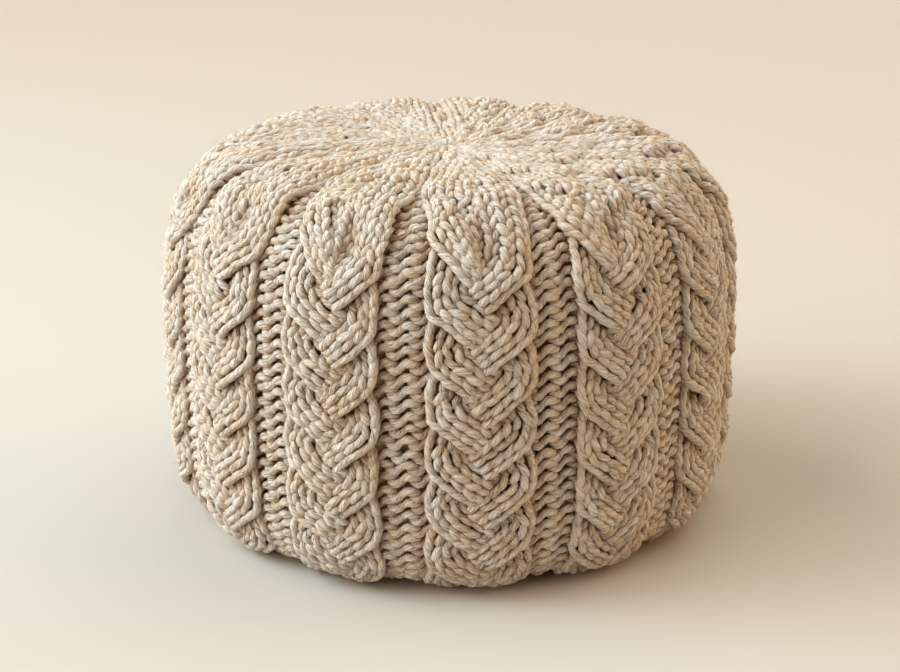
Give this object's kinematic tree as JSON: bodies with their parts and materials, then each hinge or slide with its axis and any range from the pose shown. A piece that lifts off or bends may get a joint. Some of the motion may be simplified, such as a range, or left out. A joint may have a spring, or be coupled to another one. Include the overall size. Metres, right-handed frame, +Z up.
{
  "type": "knitted pouf",
  "caption": "Round filled floor cushion in a hand-knitted cover of plait panels between sunken purl strips, gathered at the top centre, flat underneath.",
  "frame": {"origin": "on the surface the pouf stands on, under the middle of the top", "axes": "+Z up along the pouf's axis; -Y towards the front, near the middle of one plait panel"},
  "size_m": [0.497, 0.4982, 0.3222],
  "materials": {
    "yarn": "matt hand-knitted wool, heathered oatmeal"
  },
  "bodies": {
    "root": {"knitted_pouf": "yarn"}
  },
  "joints": []
}
